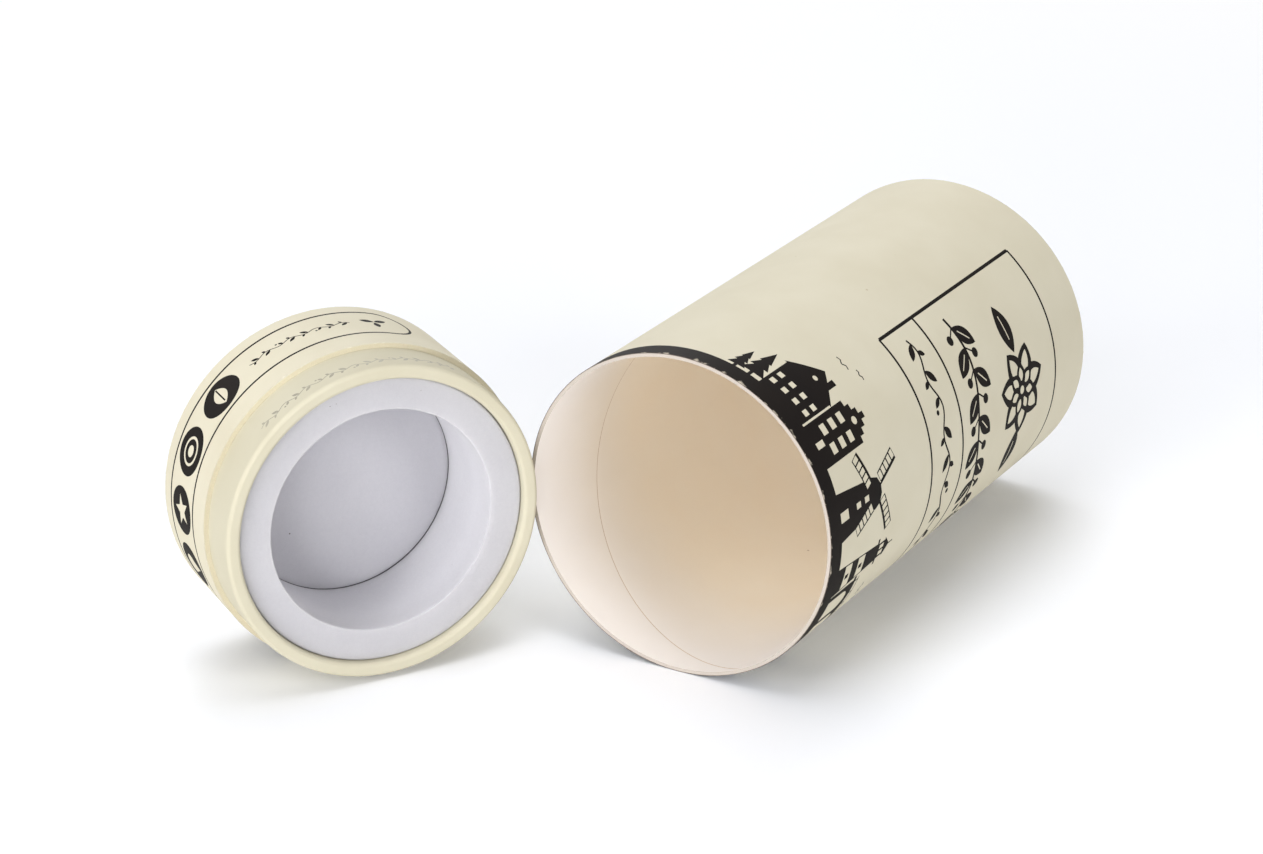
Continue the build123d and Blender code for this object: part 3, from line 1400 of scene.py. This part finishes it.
def sheet_material(name, light, dark, roughness, relief=0.5, fibre_scale=2600.0, worn=None, flecks=None,
                   specular=0.4, inward=None):
    """Paper: two close tones in clouds, fibres in its surface, rubbed edges, a few flecks, and painted light
    where its tones are given.
    """
    material, tree, shader = new_material(name, roughness, specular)
    texture = grain(tree, fibre_scale, 55.0)
    colour = two_tones(tree, spread(tree, texture["Clouds"], -0.35, 1.35), light, dark, inward)
    if flecks is not None:
        colour = flecked(tree, colour, flecks, 130.0, 0.05, 0.16)
    if worn is not None:
        rubbed = effect(tree, edge_effect, {"Breakup scale": 420.0, "Bite": 0.5})
        colour = mixed(tree, rubbed["Mask"], colour, srgb(*worn))
    tree.links.new(colour, shader.inputs["Base Color"])
    rough = spread(tree, texture["Fibres"], roughness - 0.06, roughness + 0.08)
    tree.links.new(rough, shader.inputs["Roughness"])
    bumped(tree, shader, texture["Height"], relief, 0.02)
    return material


def board_material(name, light, dark, half, plies):
    """Wound or flat board: darker lines where its plies meet, and short fibres on the cut."""
    material, tree, shader = new_material(name, 0.85, 0.25)
    way = half.along.to_track_quat("Z", "Y").to_euler()
    centred = put(tree, "ShaderNodeMapping", {"Vector": object_place(tree), "Location": half.edge * MM,
                                              "Rotation": way}, vector_type="TEXTURE")
    parts = put(tree, "ShaderNodeSeparateXYZ", {0: centred[0]})
    flat = put(tree, "ShaderNodeCombineXYZ", {"X": parts["X"], "Y": parts["Y"]})
    reach = put(tree, "ShaderNodeVectorMath", {0: flat[0]}, operation="LENGTH")["Value"]
    wave = maths(tree, "PINGPONG", maths(tree, "MULTIPLY", reach, plies), 1.0)
    texture = grain(tree, 3200.0, 240.0)
    share = maths(tree, "MULTIPLY_ADD", wave, 0.45, texture["Fibres"])
    colour = mixed(tree, spread(tree, share, -0.3, 1.0), srgb(*light), srgb(*dark))
    tree.links.new(colour, shader.inputs["Base Color"])
    bumped(tree, shader, texture["Height"], 0.6, 0.04)
    return material


def foam_material(name, light, dark, flecks, inward):
    """Closed-cell foam: a skin of tiny cells, soft clouds, a few dark flecks, and painted light and shade
    where its tones are given.
    """
    material, tree, shader = new_material(name, 0.84, 0.16)
    shader.inputs["Subsurface Weight"].default_value = 0.7
    shader.inputs["Subsurface Radius"].default_value = (1.0, 1.0, 1.0)
    shader.inputs["Subsurface Scale"].default_value = 6.0 * MM
    place = object_place(tree)
    cells = nearest_cell(tree, place, 2600.0)
    larger = nearest_cell(tree, place, 900.0)
    texture = grain(tree, 1500.0, 45.0)
    both = maths(tree, "MULTIPLY_ADD", larger["Distance"], 0.7, cells["Distance"])
    tone = maths(tree, "MULTIPLY_ADD", both, 0.28, texture["Clouds"])
    colour = two_tones(tree, spread(tree, tone, -0.5, 1.1), light, dark, inward)
    colour = flecked(tree, colour, flecks, 95.0, 0.028, 0.3)
    tree.links.new(colour, shader.inputs["Base Color"])
    tree.links.new(spread(tree, texture["Fibres"], 0.76, 0.92), shader.inputs["Roughness"])
    bumped(tree, shader, both, 0.35, 0.03)
    return material


cream_paper = sheet_material("Cream wrap paper", (212, 206, 186), (205, 198, 176), 0.66, 0.3,
                             worn=(226, 221, 204), flecks=(190, 178, 150), specular=0.28)
neck_paper = sheet_material("Cream neck paper", (201, 196, 176), (194, 188, 166), 0.7, 0.3,
                            worn=(223, 218, 200), flecks=(196, 184, 156), specular=0.16)
black_ink = sheet_material("Black print", (16, 12, 11), (24, 19, 16), 0.55, 0.3,
                           worn=(200, 190, 172), specular=0.05)
wrap_edge = sheet_material("Cut edge of the band", (112, 101, 91), (88, 78, 70), 0.85, 0.5, 3000.0)
grey_ink = sheet_material("Grey print", (132, 128, 114), (172, 166, 148), 0.5, 0.3)
label_sheet = sheet_material("Label paper", (221, 216, 198), (214, 207, 186), 0.55, 0.35, 2200.0)
# The lining's second pair of tones is painted light: brighter and warmer deep in the tube.
lining_sheet = sheet_material("Lining paper", (244, 239, 236), (241, 235, 230), 0.72, 0.5, 1900.0,
                              flecks=(214, 196, 176), specular=0.3,
                              inward=((255, 245, 228), (254, 241, 221)))
lining_seam = sheet_material("Lining seam", (212, 193, 170), (198, 177, 152), 0.85, 0.6, 3000.0)
cover_board = board_material("Cover tube board", (198, 189, 181), (186, 176, 166), cover, 9000.0)
base_tube_board = board_material("Base tube board", (219, 211, 188), (203, 194, 167), base, 9000.0)
end_board_sheet = board_material("End board", (172, 162, 146), (146, 136, 120), base, 3000.0)
# The ring foam's second pair of tones is painted light in its well.
foam_top = foam_material("Insert foam", (178, 177, 181), (169, 168, 173), (106, 102, 98),
                         ((217, 216, 220), (208, 207, 212)))
# The pad foam's second pair of tones is painted shade, dark in the slit round the well's floor.
foam_floor = foam_material("Pad foam", (199, 198, 203), (190, 189, 195), (100, 96, 94),
                           ((96, 94, 96), (88, 86, 88)))
dust = sheet_material("Dust", (120, 112, 104), (84, 78, 72), 0.9, 0.4)


def dress(piece, *materials):
    """Gives a piece its materials, in the order of its paints."""
    for number, material in enumerate(materials):
        if number < len(piece.data.materials):
            piece.data.materials[number] = material
        else:
            piece.data.materials.append(material)


def finish_piece(piece, body, slot, *nodes):
    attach(piece, body)
    if nodes:
        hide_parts(*nodes)


def near_level(value, level, reach):
    return max(0.0, 1.0 - abs(value - level) / reach)


def wrap_wear(length, mouth_share, mouth_reach):
    """How rubbed a wrap is: along its open edge and round its closed end."""
    end_reach = 1.0

    def wear(angle, depth, radius):
        if radius <= folded_in:
            return 0.0
        at_mouth = mouth_share * near_level(depth, 0.0, mouth_reach)
        return max(at_mouth, near_level(depth, length - label_paper, end_reach))

    return wear


def neck_wear(angle, depth, radius):
    return 0.7 * near_level(depth, neck_rim, 0.5)


# The cover

cover_paper = cover_wrap_piece()
dress(cover_paper, cream_paper, black_ink, wrap_edge)
mark(cover_paper, "wear", cover, wrap_wear(cover_length, 1.0, 0.6))
finish_piece(cover_paper, "cover", "printed_wrap", "cover_wrap")

lining = cover_lining_piece()
dress(lining, lining_sheet, lining_seam, cover_board)
# Painted light deep in the lining
mark(lining, "inward", cover, lining_painted_light)
finish_piece(lining, "cover", "lining_paper", "cover_lining")

cover_tucks = tuck_ring("cover_end_tucks", cover, cover_length, 5, cream_paper)
finish_piece(cover_tucks, "cover", "printed_wrap")

# The base

base_paper = base_wrap_piece()
dress(base_paper, cream_paper, black_ink)
mark(base_paper, "wear", base, wrap_wear(shell_length, 0.85, 0.8))
finish_piece(base_paper, "base", "printed_wrap", "base_wrap")

neck_sheet = neck_wrap_piece()
dress(neck_sheet, neck_paper, black_ink, grey_ink)
mark(neck_sheet, "wear", base, neck_wear)
finish_piece(neck_sheet, "base", "printed_wrap", "neck_wrap")

base_tucks = tuck_ring("base_end_tucks", base, shell_length, 8, cream_paper)
finish_piece(base_tucks, "base", "printed_wrap")

# The foam

ring_foam = foam_ring_piece()
dress(ring_foam, foam_top)
# Painted light in the well and painted shade on its rounded edge
mark(ring_foam, "inward", base, ring_foam_painted_light_and_shade)
finish_piece(ring_foam, "foam_insert", "foam", "foam_ring")

pad_foam = foam_pad_piece()
dress(pad_foam, foam_floor)
# Painted shade in the slit round the well's floor
mark(pad_foam, "inward", base, pad_slit_painted_shade)
finish_piece(pad_foam, "base", "foam", "foam_pad")

ring_dust = dust_on(ring_foam, "foam_ring_dust", 12, dust)
finish_piece(ring_dust, "foam_insert", "foam")

# Solids that keep their own shape

kept_solids = {
    "cover_tube": cover_board,
    "cover_top_board": end_board_sheet,
    "cover_top_label": label_sheet,
    "cover_ceiling_paper": lining_sheet,
    "base_tube": base_tube_board,
    "base_board": end_board_sheet,
    "base_label": label_sheet,
    "neck_tube": base_tube_board,
}
for node_name, material in kept_solids.items():
    dress(frame["nodes"][node_name], material)


# Floor and background

floor_reach = 4.0
floor_tint = (0.98, 0.995, 1.035, 1)
floor_bounce = (0.97, 0.97, 0.97, 1)
floor_fade_start = 0.32
floor_fade_end = 0.75
white = (1.0, 1.0, 1.0, 1)


def bare_tree(owner):
    """The node tree of a material or world, emptied."""
    owner.use_nodes = True
    owner.node_tree.nodes.clear()
    return owner.node_tree


def make_floor():
    """A pale floor that keeps the shadow and, for the camera, turns white away from the box."""
    mesh = bpy.data.meshes.new("floor")
    corners = [(-floor_reach, -floor_reach, 0), (floor_reach, -floor_reach, 0),
               (floor_reach, floor_reach, 0), (-floor_reach, floor_reach, 0)]
    mesh.from_pydata(corners, [], [(0, 1, 2, 3)])
    material = bpy.data.materials.new("Floor")
    tree = bare_tree(material)
    seen = put(tree, "ShaderNodeBsdfDiffuse", {"Color": floor_tint})
    lit = put(tree, "ShaderNodeBsdfDiffuse", {"Color": floor_bounce})
    path = put(tree, "ShaderNodeLightPath")
    away = put(tree, "ShaderNodeVectorMath", {0: object_place(tree)}, operation="LENGTH")["Value"]
    far = put(tree, "ShaderNodeMapRange", {"Value": away, "From Min": floor_fade_start,
                                           "From Max": floor_fade_end}, interpolation_type="SMOOTHSTEP")
    blank = put(tree, "ShaderNodeEmission", {"Color": white, "Strength": 1.0})
    shown = put(tree, "ShaderNodeMixShader", {0: far[0], 1: seen[0], 2: blank[0]})
    both = put(tree, "ShaderNodeMixShader", {0: path["Is Camera Ray"], 1: lit[0], 2: shown[0]})
    put(tree, "ShaderNodeOutputMaterial", {0: both[0]})
    mesh.materials.append(material)
    placed_object("floor", mesh)


def make_world():
    """A world that is seen white and lights nothing."""
    world = bpy.data.worlds.new("Studio")
    bpy.context.scene.world = world
    tree = bare_tree(world)
    unlit = put(tree, "ShaderNodeBackground", {0: white, 1: 0.0})
    shown = put(tree, "ShaderNodeBackground", {0: white, 1: 1.0})
    path = put(tree, "ShaderNodeLightPath")
    seen = maths(tree, "MAXIMUM", path["Is Camera Ray"], path["Is Glossy Ray"])
    through = maths(tree, "MAXIMUM", seen, path["Is Transmission Ray"])
    both = put(tree, "ShaderNodeMixShader", {0: through, 1: unlit[0], 2: shown[0]})
    put(tree, "ShaderNodeOutputWorld", {0: both[0]})


# Lights and camera

# Each lamp: its name, where it stands round the box, its height in degrees, its size and its power.
# Azimuth 0 is the camera's side and 90 the left of the picture.
studio = (
    ("overhead", 0, 90, 1.4, 12.9),
    ("high_left", 45, 52, 1.2, 5.2),
    ("high_back", 180, 52, 1.2, 7.8),
    ("front_left", 30, 36, 1.0, 2.1),
    ("left", 45, 22, 0.8, 6.6),
    ("right", 315, 22, 0.8, 9.0),
    ("back_left", 135, 22, 0.8, 2.8),
    ("back", 180, 22, 0.8, 2.9),
    ("low_front", 10, 11, 0.5, 8.4),
    ("low_left", 30, 9, 0.6, 7.3),
    ("low_right", 315, 9, 0.6, 1.2),
)
lamp_reach = 1.7
lamp_aim = Vector((0.0, 0.0, 0.03))
camera_side = -Vector((camera_looks.x, camera_looks.y, 0.0)).normalized()
picture_left = Vector((camera_side.y, -camera_side.x, 0.0))


def make_lamp(name, azimuth, elevation, size, power):
    turn = math.radians(azimuth)
    rise = math.radians(elevation)
    level = camera_side * math.cos(turn) + picture_left * math.sin(turn)
    place = (level * math.cos(rise) + Vector((0.0, 0.0, math.sin(rise)))) * lamp_reach
    data = bpy.data.lights.new(name, "AREA")
    data.shape = "DISK"
    data.size = size
    data.energy = power
    lamp = placed_object(name, data)
    lamp.location = place
    lamp.rotation_mode = "QUATERNION"
    lamp.rotation_quaternion = (lamp_aim - place).to_track_quat("-Z", "Y")


def make_camera():
    data = bpy.data.cameras.new("camera")
    data.lens = camera_lens
    data.sensor_width = camera_sensor
    data.clip_start, data.clip_end = camera_clip
    camera = placed_object("camera", data)
    camera.location = camera_place
    camera.rotation_mode = "QUATERNION"
    level = camera_looks.to_track_quat("-Z", "Y")
    camera.rotation_quaternion = level @ Matrix.Rotation(math.radians(-camera_roll), 4, "Z").to_quaternion()
    bpy.context.scene.camera = camera


make_floor()
make_world()
for lamp_row in studio:
    make_lamp(*lamp_row)
make_camera()
bpy.context.scene.view_settings.view_transform = "Standard"
